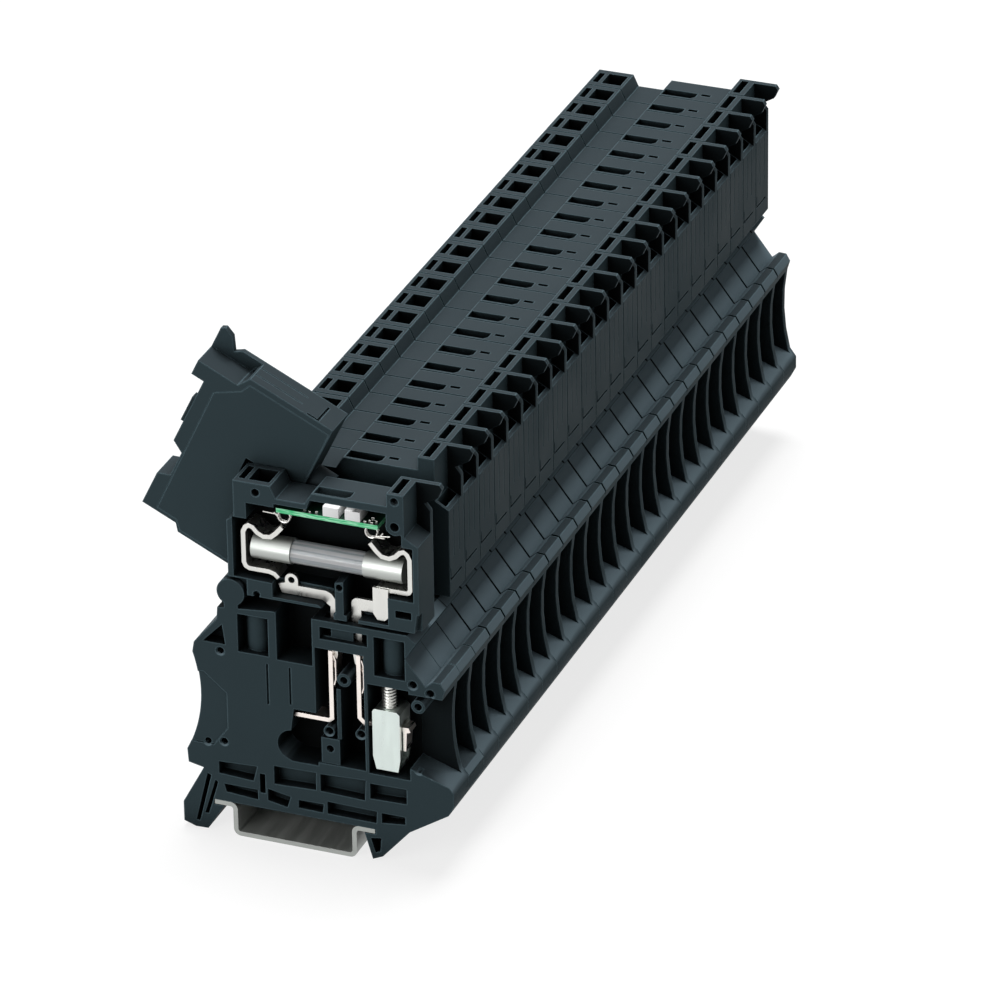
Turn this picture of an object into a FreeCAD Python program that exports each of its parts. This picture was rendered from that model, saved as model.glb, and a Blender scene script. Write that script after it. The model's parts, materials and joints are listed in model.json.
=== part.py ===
"""A row of lever-type fuse terminal blocks on a 35 mm top-hat rail, in millimetres.

The origin is the centre of the rail's underside. X runs across the rail, Y along the row
(the first slice is at -Y) and Z is up. Each slice is drawn in its own frame, whose origin
is on the slice's front face, over the rail's centre line, level with the top of the lips.
"""
import FreeCAD, Part
import math
import os
from FreeCAD import Placement, Rotation, Vector

doc = FreeCAD.newDocument("FuseTerminalRow")
sheet = doc.addObject("Spreadsheet::Sheet", "Sizes")

# Driving sizes: name, value in mm (or degrees), what it is
SIZES = (
    ("pitch", 8.2, "slice to slice along the rail"),
    ("slice_gap", 0.1, "gap between two housings"),
    ("lever_gap", 0.3, "gap between two levers"),
    ("rail_width", 35.0, "rail over its lips"),
    ("rail_height", 7.5, "rail from underside to lip top"),
    ("rail_hat", 27.0, "rail over its side walls"),
    ("rail_sheet", 1.0, "thickness of the rail's sheet"),
    ("rail_bend", 0.6, "inner radius of the rail's bends"),
    ("rail_play", 0.15, "play between the rail's lips and the feet"),
    ("wall", 1.2, "outer wall of a moulding"),
    ("deck", 46.0, "top of the housing, under the levers"),
    ("wing_foot", 13.4, "height of the wire entry's outer sill"),
    ("wing_drop", 12.4, "wing's upper end below the deck"),
    ("waist_right", 32.0, "half width at the right wing's waist"),
    ("waist_left", 19.9, "half width at the left wing's waist"),
    ("entry_depth", 6.7, "wire entry along the row"),
    ("entry_inner", 6.7, "inner end of the right wire entry, in from the waist"),
    ("entry_left", 4.5, "inner end of the left wire entry, in from the waist"),
    ("roof_drop", 5.4, "upper edge of the sloped roof below the deck"),
    ("lever_clear", 0.7, "gap between the deck and a closed lever"),
    ("lever_tall", 27.5, "closed lever from underside to top"),
    ("lever_left", -12.9, "left end of a lever"),
    ("lever_room", 8.6, "length of a lever more than its fuse"),
    ("dip", 2.6, "depth of the dip in the lever's top"),
    ("pocket_rise", 2.9, "marker pocket above the lever's top"),
    ("ledge_drop", 7.2, "ledge under the finger recess, below the lever's top"),
    ("grip_plate", 1.2, "thickness of the finger grip"),
    ("hinge_inset", 0.4, "hinge axis in from the lever's left end"),
    ("hinge_rise", 2.7, "hinge axis above the deck"),
    ("hinge_pin", 1.25, "radius of the hinge pin"),
    ("hinge_play", 0.06, "play of the lever on its pin"),
    ("knuckle", 3.0, "radius of the hinge discs"),
    ("knuckle_clear", 0.6, "room around the hinge discs"),
    ("open_angle", 64.0, "angle of the open lever"),
    ("fuse_length", 32.4, "fuse over its caps"),
    ("fuse_inset", 4.6, "left end of the fuse in from the lever's left end"),
    ("fuse_rise", 11.9, "axis of the fuse above the lever's underside"),
    ("fuse_depth", 3.6, "axis of the fuse behind the slice's front"),
    ("cap_length", 8.4, "length of a fuse cap"),
    ("cap_radius", 2.7, "radius of a fuse cap"),
    ("cap_sheet", 0.3, "thickness of a fuse cap"),
    ("tube_wall", 0.5, "wall of the glass tube"),
    ("wire_side", 0.22, "side of the square fuse wire"),
    ("strip", 0.95, "thickness of the clip strip"),
    ("clip_play", 0.1, "play between a clip's waist and its fuse cap"),
    ("strip_width", 4.4, "width of the clip strip along the row"),
    ("strip_front", 1.4, "front edge of the clip strip"),
    ("board_drop", 6.0, "underside of the indicator board below the lever's top"),
    ("board_sheet", 1.0, "thickness of the indicator board"),
    ("board_front", 0.9, "front edge of the indicator board"),
    ("block_rise", 2.2, "height of the indicator blocks"),
    ("spring_radius", 1.45, "outer radius of the contact springs"),
    ("leg_drop", 7.4, "top of the contact legs below the deck"),
    ("leg_sheet", 0.9, "thickness of the contact legs"),
    ("leg_width", 4.0, "width of the contact legs along the row"),
    ("leg_front", 1.3, "front edge of the contact legs"),
    ("left_leg", 7.8, "left face of the left contact leg"),
    ("right_leg", 13.8, "left face of the right contact leg"),
    ("fork_slot", 4.1, "depth of the fork slot in a contact leg"),
    ("blade_reach", 2.6, "knife blades into the forks of the legs"),
    ("blade_sheet", 0.8, "thickness of the knife blades"),
    ("blade_front", 2.2, "front face of the knife blades"),
    ("blade_play", 0.1, "play of a knife blade in its seat and fork"),
    ("mouth_left", 7.0, "left end of the blades' mouth in the deck"),
    ("mouth_right", 17.9, "right end of the blades' mouth in the deck"),
    ("mouth_front", 1.6, "front of the blades' mouth"),
    ("mouth_depth", 2.0, "blades' mouth along the row"),
    ("barrel", 3.3, "radius of the barrel under the open lever"),
    ("barrel_across", 13.0, "axis of the barrel, lever closed"),
    ("barrel_reach", 4.4, "barrel below the lever's underside"),
    ("barrel_clear", 0.5, "room around the barrel in its housing"),
    ("cage_width", 5.9, "clamp cage across the rail"),
    ("cage_left", 17.3, "left face of the clamp cage"),
    ("cage_rise", 0.5, "underside of the clamp cage above the entry's sill"),
    ("cage_height", 13.7, "height of the clamp cage"),
    ("cage_wall", 0.9, "side walls of the clamp cage"),
    ("cage_depth", 5.6, "clamp cage along the row"),
    ("cage_front", 0.5, "front face of the clamp cage"),
    ("screw_play", 0.05, "play between the screw and the cage's thread"),
    ("screw_radius", 1.7, "radius of the clamp screw"),
    ("screw_inset", 2.8, "axis of the clamp screw from the cage's left face"),
    ("screw_length", 8.2, "length of the clamp screw"),
    ("screw_grip", 3.4, "clamp screw below the top of its cage"),
    ("boss", 1.5, "radius of the housing's round bosses"),
    ("foot_boss", 1.2, "radius of the two bosses under the legs' feet"),
    ("boss_hole", 0.8, "radius of the blind holes in the bosses"),
    ("boss_depth", 2.4, "depth of the blind holes"),
    ("guide", 2.9, "radius of the screw guides"),
)
# Sizes that follow from others: name, formula, what it is
FOLLOWING = (
    ("wing_top", "=deck - wing_drop", "height of the wing's upper end"),
    ("roof_top", "=deck - roof_drop", "upper edge of the sloped roof"),
    ("lever_bottom", "=deck + lever_clear", "underside of a closed lever"),
    ("lever_top", "=deck + lever_clear + lever_tall", "top of a closed lever"),
    ("lever_right", "=lever_left + fuse_length + lever_room", "right end of a lever"),
    ("hinge_across", "=lever_left + hinge_inset", "hinge axis across the rail"),
    ("hinge_height", "=deck + hinge_rise", "hinge axis above the lips"),
    ("fuse_left", "=lever_left + fuse_inset", "left end of the fuse"),
    ("fuse_right", "=lever_left + fuse_inset + fuse_length", "right end of the fuse"),
    ("fuse_height", "=deck + lever_clear + fuse_rise", "axis of the fuse"),
    ("leg_top", "=deck - leg_drop", "top of the contact legs"),
    ("blade_tip", "=deck - leg_drop - blade_reach", "lower end of the knife blades"),
    ("cage_bottom", "=wing_foot + cage_rise", "underside of the clamp cage"),
    ("cage_top", "=wing_foot + cage_rise + cage_height", "top of the clamp cage"),
    ("screw_across", "=cage_left + screw_inset", "axis of the clamp screw"),
    ("screw_bottom", "=wing_foot + cage_rise + cage_height - screw_grip", "screw's lower end"),
)
SLICES = 25
OPEN_SLICE = 2
WING_FLATS = 4

for row, (alias, value, note) in enumerate(SIZES + FOLLOWING, start=1):
    sheet.set("A%d" % row, note)
    sheet.set("B%d" % row, str(value))
    sheet.setAlias("B%d" % row, alias)
doc.recompute()


def size(alias):
    """Value of a driving size."""
    return float(sheet.get(alias))


ROW_START = "-%d * Sizes.pitch / 2" % SLICES
HOUSING_WIDTH = "(Sizes.pitch - Sizes.slice_gap)"
LEVER_WIDTH = "(Sizes.pitch - Sizes.lever_gap)"
LEVER_FRONT = "(Sizes.lever_gap / 2)"
BACK_WALL = "(Sizes.pitch - Sizes.slice_gap - Sizes.wall)"


def plane(body, role):
    """Origin plane of a body."""
    return next(item for item in body.Origin.OriginFeatures if item.Role == role)


def new_body(name):
    """Empty body with its label."""
    body = doc.addObject("PartDesign::Body", name)
    body.Label = name
    return body


def new_sketch(body, name, role, level):
    """Sketch on an origin plane, moved along the plane's normal to an expression's level."""
    sketch = body.newObject("Sketcher::SketchObject", name)
    sketch.AttachmentSupport = [(plane(body, role), "")]
    sketch.MapMode = "FlatFace"
    sign = "-" if role == "XZ_Plane" else ""
    sketch.setExpression(".AttachmentOffset.Base.z", "%s(%s)" % (sign, level))
    return sketch


def draw(sketch, loops):
    """Closed loops of points. A point ("arc", through, end) ends an arc."""
    for loop in loops:
        start = Vector(*loop[0], 0)
        first = start
        edges = []
        for item in loop[1:]:
            if item[0] == "arc":
                through = Vector(*item[1], 0)
                end = Vector(*item[2], 0)
                edges.append(Part.Arc(start, through, end))
            else:
                end = Vector(*item, 0)
                edges.append(Part.LineSegment(start, end))
            start = end
        if start.distanceToPoint(first) > 1e-6:
            edges.append(Part.LineSegment(start, first))
        sketch.addGeometry(edges, False)


def circle(sketch, centre, radius):
    """Circle in a sketch."""
    sketch.addGeometry(Part.Circle(Vector(*centre, 0), Vector(0, 0, 1), radius), False)


def pad(body, name, loops, front, depth, role="XZ_Plane"):
    """Solid from closed loops. From an XZ sketch it grows towards +Y, from an XY one towards +Z."""
    sketch = new_sketch(body, name + "_sketch", role, front)
    draw(sketch, loops)
    feature = body.newObject("PartDesign::Pad", name)
    feature.Profile = sketch
    feature.setExpression("Length", depth)
    feature.Reversed = role == "XZ_Plane"
    return feature


def pocket(body, name, loops, front, depth, role="XZ_Plane"):
    """Cut from closed loops. An XZ sketch cuts towards +Y, an XY one downwards."""
    sketch = new_sketch(body, name + "_sketch", role, front)
    draw(sketch, loops)
    feature = body.newObject("PartDesign::Pocket", name)
    feature.Profile = sketch
    feature.setExpression("Length", depth)
    return feature


def round_pad(body, name, centres, radius, front, depth):
    """Round bosses that stand along Y."""
    sketch = new_sketch(body, name + "_sketch", "XZ_Plane", front)
    for centre in centres:
        circle(sketch, centre, radius)
    feature = body.newObject("PartDesign::Pad", name)
    feature.Profile = sketch
    feature.setExpression("Length", depth)
    feature.Reversed = True
    return feature


def round_pocket(body, name, centres, radius, front, depth):
    """Round holes that run along Y."""
    sketch = new_sketch(body, name + "_sketch", "XZ_Plane", front)
    for centre in centres:
        circle(sketch, centre, radius)
    feature = body.newObject("PartDesign::Pocket", name)
    feature.Profile = sketch
    feature.setExpression("Length", depth)
    return feature


def box_loop(left, low, right, high):
    """Rectangle as a loop."""
    return [(left, low), (right, low), (right, high), (left, high)]


def place_slice(item, number):
    """Put a piece that is drawn in the slice frame into its slice."""
    item.setExpression(".Placement.Base.y", "%s + %d * Sizes.pitch" % (ROW_START, number - 1))
    item.setExpression(".Placement.Base.z", "Sizes.rail_height")


# Mounting rail: one folded top-hat strip, as long as the row

def make_rail():
    """Top-hat rail with rounded bends."""
    lip = size("rail_width") / 2
    hat = size("rail_hat") / 2
    sheet_thick = size("rail_sheet")
    top = size("rail_height")
    inner = size("rail_bend")
    outer = inner + sheet_thick
    half = math.sqrt(0.5)

    def bend(corner, radius, toward_x, toward_z):
        """Arc points at a corner whose sides lead toward the two signs."""
        centre = (corner[0] + toward_x * radius, corner[1] + toward_z * radius)
        middle = (centre[0] - toward_x * radius * half, centre[1] - toward_z * radius * half)
        on_x = (corner[0] + toward_x * radius, corner[1])
        on_z = (corner[0], corner[1] + toward_z * radius)
        return on_x, middle, on_z

    right = []
    low_x, low_mid, low_z = bend((hat, 0.0), outer, -1, 1)
    right += [low_x, ("arc", low_mid, low_z)]
    up_x, up_mid, up_z = bend((hat, top - sheet_thick), inner, 1, -1)
    right += [up_z, ("arc", up_mid, up_x), (lip, top - sheet_thick), (lip, top)]
    out_x, out_mid, out_z = bend((hat - sheet_thick, top), outer, 1, -1)
    right += [out_x, ("arc", out_mid, out_z)]
    in_x, in_mid, in_z = bend((hat - sheet_thick, sheet_thick), inner, -1, 1)
    right += [in_z, ("arc", in_mid, in_x)]

    def mirrored(point):
        return (-point[0], point[1])

    left = [mirrored(in_x), ("arc", mirrored(in_mid), mirrored(in_z)), mirrored(out_z),
            ("arc", mirrored(out_mid), mirrored(out_x)), (-lip, top), (-lip, top - sheet_thick),
            mirrored(up_x), ("arc", mirrored(up_mid), mirrored(up_z)), mirrored(low_z),
            ("arc", mirrored(low_mid), mirrored(low_x))]
    body = new_body("mounting_rail")
    pad(body, "rail_section", [right + left], ROW_START, "%d * Sizes.pitch" % SLICES)
    return body


# Terminal housing: outline, wings, roof, foot

def bow(start, through, end, flats):
    """Hollow side of a wing: an arc, or so many flats along it where the housings repeat."""
    if not flats:
        return [("arc", through, end)]
    arc = Part.Arc(Vector(*start, 0), Vector(*through, 0), Vector(*end, 0)).toShape()
    return [(point.x, point.y) for point in arc.discretize(flats + 1)[1:]]


def housing_outline(flats):
    """Outline of a housing across the rail, counter-clockwise from the right hook."""
    lip = size("rail_width") / 2 + size("rail_play")
    under = -(size("rail_sheet") + size("rail_play"))
    foot = size("wing_foot")
    wing = size("wing_top")
    deck = size("deck")
    waist_height = (foot + wing) / 2
    right = size("waist_right")
    left = -size("waist_left")
    hook = [(lip, 0.0), (lip, under), (lip - 2.4, under), (lip - 0.7, -7.0), (lip + 1.5, -6.0),
            (right - 6.9, 0.8), (right + 1.6, foot - 7.1)]
    band = [(right + 2.8, foot - 4.7), (right + 2.8, foot - 1.9), (right + 1.4, foot)]
    right_wing = bow(band[-1], (right, waist_height), (right + 0.7, wing - 0.8), flats)
    roof = [(right + 1.3, wing + 1.2), (right + 0.4, wing + 2.8), (right - 1.3, wing + 2.9),
            (right - 2.9, wing + 1.5),
            (right - 7.1, size("roof_top")), (right - 4.7, deck - 1.6), (right - 6.6, deck)]
    tower = [(size("hinge_across") + 8.5, deck),
             (size("hinge_across") - size("knuckle"), deck - 1.2)]
    left_roof = [(left + 4.2, deck - 3.9), (left - 1.0, wing + 2.3), (left - 1.4, wing)]
    left_wing = bow(left_roof[-1], (left, waist_height), (left - 3.3, foot - 2.6), flats)
    left_foot = [(left - 3.1, foot - 5.7), (left + 0.2, foot - 6.4), (-lip - 6.8, -1.8),
                 (-lip - 6.8, -6.3), (-lip - 4.2, -7.2), (-lip - 1.5, -7.1),
                 (-lip + 2.2, under), (-lip, under), (-lip, 0.0)]
    return hook + band + right_wing + roof + tower + left_roof + left_wing + left_foot


def entry_inner(side):
    """Inner wall of a wire entry. side is 1 or -1."""
    if side > 0:
        return size("waist_right") - size("entry_inner")
    return -(size("waist_left") - size("entry_left"))


def entry_loop(side):
    """Wire entry across the rail: sloped sill, inner wall, flat ceiling. side is 1 or -1."""
    foot = size("wing_foot")
    wing = size("wing_top")
    inner = entry_inner(side)
    reach = 2 * side * size("entry_inner" if side > 0 else "entry_left")
    sill = foot - 2.3 if side > 0 else foot + 0.2
    return [(inner + reach, sill), (inner, foot + 2.3), (inner, wing - 0.9),
            (inner + reach, wing - 0.9)]


def housing_body(name, flats):
    """Housing moulding as every slice has it."""
    body = new_body(name)
    pad(body, name + "_outline", [housing_outline(flats)], "0", HOUSING_WIDTH)
    pocket(body, name + "_right_entry", [entry_loop(1)], "0", "Sizes.entry_depth")
    pocket(body, name + "_left_entry", [entry_loop(-1)], "Sizes.wall",
           HOUSING_WIDTH + " - Sizes.wall")
    return body


def add_hinge_ears(body, name):
    """Front disc on its narrow neck, plain back bracket, and the pin that carries the lever."""
    across = size("hinge_across")
    height = size("hinge_height")
    radius = size("knuckle")
    neck = radius / 2
    start = height - radius * math.sqrt(0.75)
    below = size("deck") - 2.0
    disc = [(across - neck, below), (across + neck, below), (across + neck, start),
            ("arc", (across, height + radius), (across - neck, start))]
    bracket = [(across - neck, below), (across + neck, below), (across + neck, height + neck),
               (across - neck, height + neck)]
    pad(body, name + "_front_ear", [disc], "0", "Sizes.wall")
    pad(body, name + "_back_ear", [bracket], BACK_WALL, "Sizes.wall")
    round_pad(body, name + "_pin", [(across, height)], size("hinge_pin"), "0", HOUSING_WIDTH)


def add_mouth(body, name, low):
    """Slot in the deck that the knife blades swing through."""
    slot = box_loop(size("mouth_left"), low, size("mouth_right"), size("deck") + 1)
    pocket(body, name + "_mouth", [slot], "Sizes.mouth_front", "Sizes.mouth_depth")


def tower_well():
    """Loop of the well behind the tower, open at the deck."""
    return box_loop(-2.8, size("wing_top") + 1.6, size("left_leg") - 2.9, size("deck") + 1)


def make_front_housing():
    """First housing, with its inside open to the front."""
    name = "housing_01"
    body = housing_body(name, 0)
    add_hinge_ears(body, name)
    inside = BACK_WALL
    deck = size("deck")
    foot = size("wing_foot")
    wing = size("wing_top")
    legs_left = size("left_leg") - 2.4
    legs_right = size("right_leg") + size("leg_sheet") + 1.2
    # Chamber of the clamp, joined to the wire entry
    chamber = box_loop(size("cage_left") - 0.7, foot - 0.5, entry_inner(1) + 0.2, wing - 0.2)
    pocket(body, name + "_chamber", [chamber], "0", inside)
    # Space of the two contact legs, and the gap beside the closed plate with a leg's foot in it
    leg_space = box_loop(legs_left, foot - 0.2, legs_right, size("leg_top") + 1.0)
    plate_gap = [(-0.2, foot - 1.0), (legs_left + 0.2, foot - 1.0),
                 (legs_left + 0.2, foot + 11.1), (0.5, foot + 11.1), (-0.2, foot + 6.0),
                 ("arc", (-3.2, foot + 2.6), (-0.9, foot - 0.6))]
    pocket(body, name + "_leg_space", [leg_space], "0", inside)
    pocket(body, name + "_plate_gap", [plate_gap], "0", inside)
    slits = [box_loop(-4.4, foot + 8.4, 0.4, foot + 10.2),
             box_loop(legs_right - 0.3, foot + 9.0, size("cage_left") - 0.5, foot + 11.0)]
    pocket(body, name + "_foot_slits", slits, "Sizes.wall / 2", "Sizes.leg_width + 1.2")
    pocket(body, name + "_well", [tower_well()], "0", inside)
    # Wells of the two screw guides
    wells = [box_loop(LEFT_GUIDE - 3.3, deck - 10.5, LEFT_GUIDE + 3.3, deck - 1.9),
             box_loop(RIGHT_GUIDE - 3.3, deck - 10.4, RIGHT_GUIDE + 3.3, deck - 1.6)]
    pocket(body, name + "_guide_wells", wells, "0", "3.6")
    # Hollow beside the tower, and the recess in the bridge between the towers
    hollow = [(-18.9, wing + 2.9), (-14.0, wing + 2.9), (-14.6, wing + 7.4)]
    pocket(body, name + "_side_hollow", [hollow], "0", "3.0")
    pocket(body, name + "_bridge_recess", [box_loop(6.6, deck - 4.2, 16.8, deck - 1.5)], "0",
           "1.2")
    pocket(body, name + "_bridge_pockets", [box_loop(6.6, deck - 3.9, 8.6, deck - 1.8),
                                            box_loop(13.4, deck - 4.2, 16.8, deck - 1.8)],
           "0", "4.0")
    add_plate_steps(body, name)
    add_mouth(body, name, size("leg_top") + 0.4)
    add_foot_ribs(body, name)
    add_bosses(body, name)
    return body


def add_plate_steps(body, name):
    """Steps in the closed plate: its lowered left rim and the groove beside the tower."""
    foot = size("wing_foot")
    left = -size("waist_left")
    rim = [(left - 4.0, foot + 15.4), (left + 0.9, foot + 16.0), (left + 5.8, foot + 11.8),
           (left + 5.8, foot + 3.8), (left + 2.6, foot - 0.6), (left - 4.0, foot - 0.6)]
    pocket(body, name + "_rim", [rim], "0", "Sizes.wall / 3")
    seams = [box_loop(-0.3, foot + 12.0, 0.1, foot + 20.4),
             box_loop(-5.2, foot + 11.1, -4.8, foot + 20.4)]
    pocket(body, name + "_seams", seams, "0", "Sizes.wall / 3")


def add_foot_ribs(body, name):
    """Ribbed foot box: two rows of shallow cells, two slots in the sprung foot."""
    upper = [[(-16.3, 6.4), (-8.8, 6.0), (-7.9, 9.5), (-16.3, 9.1)],
             [(-4.2, 6.2), (4.9, 6.6), (5.0, 10.6), (-4.2, 10.4)],
             [(5.9, 6.6), (15.5, 6.3), (15.8, 11.0), (5.9, 10.5)],
             [(16.7, 7.0), (24.6, 7.2), (24.6, 10.6), (16.7, 10.5)]]
    lower = [[(-14.8, 2.3), (-7.9, 1.8), (-7.9, 4.1), (-15.3, 4.1)],
             [(-5.7, 2.1), (-1.5, 1.3), (-0.7, 3.9), (-5.7, 4.8)],
             [(1.0, 1.7), (6.2, 1.6), (6.5, 3.6), (1.0, 3.5)],
             [(7.3, 1.6), (17.9, 1.5), (18.1, 4.2), (7.3, 4.4)],
             [(19.1, 1.8), (24.2, 2.4), (24.2, 4.1), (19.1, 4.1)]]
    pocket(body, name + "_foot_cells", upper + lower, "0", "2.4")
    pocket(body, name + "_foot_windows", [box_loop(-7.4, 3.6, -6.2, 8.0)], "0", "4.5")
    hook_cell = [(16.6, -2.2), (18.9, -1.8), (18.6, -5.0), (17.6, -5.4)]
    pocket(body, name + "_hook_cell", [hook_cell], "0", "2.4")
    slots = [[(-18.9, 5.9), (-18.1, 5.5), (-20.9, -5.6), (-21.7, -5.6)],
             [(-17.2, 4.6), (-16.6, 4.2), (-18.9, -3.6), (-19.7, -3.6)]]
    pocket(body, name + "_foot_slots", slots, "0", HOUSING_WIDTH)


LEFT_GUIDE = -7.9
RIGHT_GUIDE = 21.5


def add_bosses(body, name):
    """Round bosses that stand on the back wall, and the blind holes in the front."""
    foot = size("wing_foot")
    wing = size("wing_top")
    between = (size("left_leg") + size("right_leg") + size("leg_sheet")) / 2 + 0.35
    standing = [(entry_inner(1) + 2.2, wing - 3.4), (between, wing - 0.4)]
    beside_feet = [(size("left_leg") + 0.3, foot + 7.4), (size("right_leg") + 1.2, foot + 8.0)]
    round_pad(body, name + "_bosses", standing, size("boss"), "0", HOUSING_WIDTH)
    round_pad(body, name + "_foot_bosses", beside_feet, size("foot_boss"), "0", HOUSING_WIDTH)
    post = box_loop(size("left_leg") - 1.6, foot - 0.4, size("left_leg") + 2.4, foot + 5.6)
    pad(body, name + "_boss_block", [post], "0.4", HOUSING_WIDTH + " - 0.4")
    web = box_loop(size("left_leg") + 1.8, foot + 5.6, size("left_leg") + 2.7, foot + 17.1)
    pad(body, name + "_leg_wall", [web], "0.8", HOUSING_WIDTH + " - 0.8")
    round_pocket(body, name + "_holes", standing, size("boss_hole"), "0", "Sizes.boss_depth")
    # Screw guides: upright half-round sleeves in their wells
    reach = size("guide")
    back = reach + 1.3
    low = size("deck") - 10.6
    for label, across in (("left", LEFT_GUIDE), ("right", RIGHT_GUIDE)):
        sleeve = [(across - reach, back), ("arc", (across, back - reach), (across + reach, back))]
        pad(body, "%s_%s_guide" % (name, label), [sleeve], "%g" % low, "8.9", "XY_Plane")


# Fuse lever: outline, top recesses, finger grip

def lever_outline():
    """Outline of a lever across the rail, counter-clockwise from the lower right corner."""
    left = size("lever_left")
    right = size("lever_right")
    bottom = size("lever_bottom")
    top = size("lever_top")
    low = top - size("dip")
    crest = top + size("pocket_rise")
    tip = right + 2.6
    marker = right - 6.5
    across = size("hinge_across")
    height = size("hinge_height")
    clear = size("knuckle") + size("knuckle_clear")
    return [(right, bottom), (right, top - 3.2), (right - 1.2, top - 1.7),
            (tip - 0.9, top),
            (tip, crest - 0.9), (tip - 0.6, crest), (marker, crest), (marker, top),
            (left + 18.5, top), (left + 16.9, low), (left + 10.8, low), (left + 9.6, top),
            (left + 1.6, top), (left + 1.6, top - 8.0), (left, top - 9.2),
            (left, height + clear), (across + clear, height + clear), (across + clear, bottom + 2.0),
            (left + 20.9, bottom + 2.0), (left + 20.9, bottom)]


def lever_body(name, slits=True):
    """Lever moulding as every slice has it. slits adds the narrow one beside the test socket."""
    body = new_body(name)
    pad(body, name + "_outline", [lever_outline()], LEVER_FRONT, LEVER_WIDTH)
    left = size("lever_left")
    right = size("lever_right")
    ledge = size("lever_top") - size("ledge_drop")
    above = size("lever_top") + size("pocket_rise") + 2.0
    # Finger recess in front of the grip plate, with a sloped ledge at its outer end
    recess = [(right - 2.9, ledge + 0.8), (right, ledge - 0.9), (right + 4.0, ledge - 0.9),
              (right + 4.0, above), (right - 2.9, above)]
    pocket(body, name + "_finger_recess", [recess], "0",
           LEVER_WIDTH + " + " + LEVER_FRONT + " - Sizes.grip_plate")
    # Slot, test sockets and marker pocket, from above
    slot = [(left + 18.8, 0.7), (left + 25.5, 0.7), (left + 26.3, 1.6), (left + 26.3, 3.5),
            (left + 18.8, 3.5)]
    socket = box_loop(left + 4.5, 1.6, left + 8.9, 6.6)
    slit = [box_loop(left + 2.3, 1.6, left + 3.6, 6.8)] if slits else []
    pocket(body, name + "_slots", [slot, socket] + slit, "Sizes.lever_top", "3.5", "XY_Plane")
    marker = box_loop(right - 5.8, 1.0, right - 4.2, 7.2)
    pocket(body, name + "_marker", [marker], "Sizes.lever_top + Sizes.pocket_rise", "3.0",
           "XY_Plane")
    return body


def add_knuckle(body, name):
    """Round knuckle with the bore for the hinge pin, between the housing's ears."""
    across = size("hinge_across")
    height = size("hinge_height")
    radius = size("knuckle")
    clear = radius + size("knuckle_clear")
    web = [(across - 0.4, height - radius),
           ("arc", (across - radius * math.cos(0.5), height - radius * math.sin(0.5)),
            (across - radius * math.cos(0.6), height + radius * math.sin(0.6))),
           (size("lever_left"), height + clear + 0.2), (across + clear + 0.2, height + clear + 0.2),
           (across + clear + 0.2, height - 0.6)]
    pad(body, name + "_knuckle", [web], "Sizes.wall + 0.3",
        HOUSING_WIDTH + " - 2 * Sizes.wall - 0.6")
    round_pocket(body, name + "_bore", [(across, height)],
                 size("hinge_pin") + size("hinge_play"), "0", "Sizes.pitch")


def make_front_lever():
    """First lever, open at its front to show the fuse and its clips."""
    name = "lever_01"
    body = lever_body(name)
    add_knuckle(body, name)
    left = size("lever_left") + size("wall")
    right = size("lever_right") - size("wall")
    top = size("lever_top")
    bottom = size("lever_bottom")
    board_end = size("lever_right") - 6.7
    bar = size("left_leg") + 0.4
    leg = size("right_leg") - 1.1
    fold = size("fuse_right") - 2.9
    depth = LEVER_WIDTH + " + " + LEVER_FRONT + " - Sizes.wall"
    cavity = [(left, bottom + 5.9), (bar + 0.4, bottom + 5.3), (bar + 0.4, bottom + 1.3),
              (fold - 1.6, bottom + 1.3), (fold - 1.6, bottom + 6.9), (right, bottom + 6.9),
              (right, top - 8.6), (board_end + 3.2, top - 8.6), (board_end + 3.2, top - 6.0),
              (board_end, top - 5.2), (board_end, top - 1.6), (left + 16.9, top - 1.6),
              (left + 16.1, top - 3.8), (left + 9.1, top - 3.8), (left + 9.1, top - 4.6),
              (left + 3.1, top - 4.6), (left + 3.1, top - 8.2), (left, top - 8.2)]
    pocket(body, name + "_cavity", [cavity], "0", depth)
    # Seats of the two knife blades, open at the front and through the floor
    left_seat = [(left + 8.3, bottom + 2.6), (bar - 1.8, bottom + 2.6), (bar - 0.3, bottom + 1.5),
                 (bar - 0.3, bottom - 0.7), (bar + 1.5, bottom - 0.7), (bar + 1.5, bottom + 5.7),
                 (left + 8.3, bottom + 6.3)]
    right_seat = [(leg - 0.2, bottom - 0.7), (leg + 2.3, bottom - 0.7), (leg + 2.3, bottom + 0.8),
                  (fold + 0.2, bottom + 0.8), (fold + 0.2, bottom + 7.9), (leg - 0.2, bottom + 7.9)]
    pocket(body, name + "_blade_seats", [left_seat, right_seat], "0",
           "Sizes.blade_front + Sizes.blade_sheet + Sizes.blade_play")
    # Boss beside the board, the post between the blades, the window block at the lower right
    boss = (board_end + 1.8, top - 4.3)
    round_pad(body, name + "_boss", [boss], 1.9, LEVER_FRONT, LEVER_WIDTH)
    round_pocket(body, name + "_boss_hole", [boss], 0.95, "0", "3.4")
    post = [(bar + 1.9, bottom + 0.7), (leg - 0.8, bottom + 0.7), (leg - 0.8, bottom + 8.7),
            (bar + 1.9, bottom + 8.3)]
    pad(body, name + "_post", [post], LEVER_FRONT, LEVER_WIDTH)
    pocket(body, name + "_window", [box_loop(right - 3.9, bottom + 2.9, right - 0.5, bottom + 4.5)],
           "0", "4.0")
    corner = [(right, bottom - 0.7), (right + 2.1, bottom - 0.7), (right + 2.1, bottom + 4.2),
              (right + 0.7, bottom + 4.2)]
    pocket(body, name + "_corner_cut", [corner], "0", "1.6")
    return body


COVER_SHEET = 0.8


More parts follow.
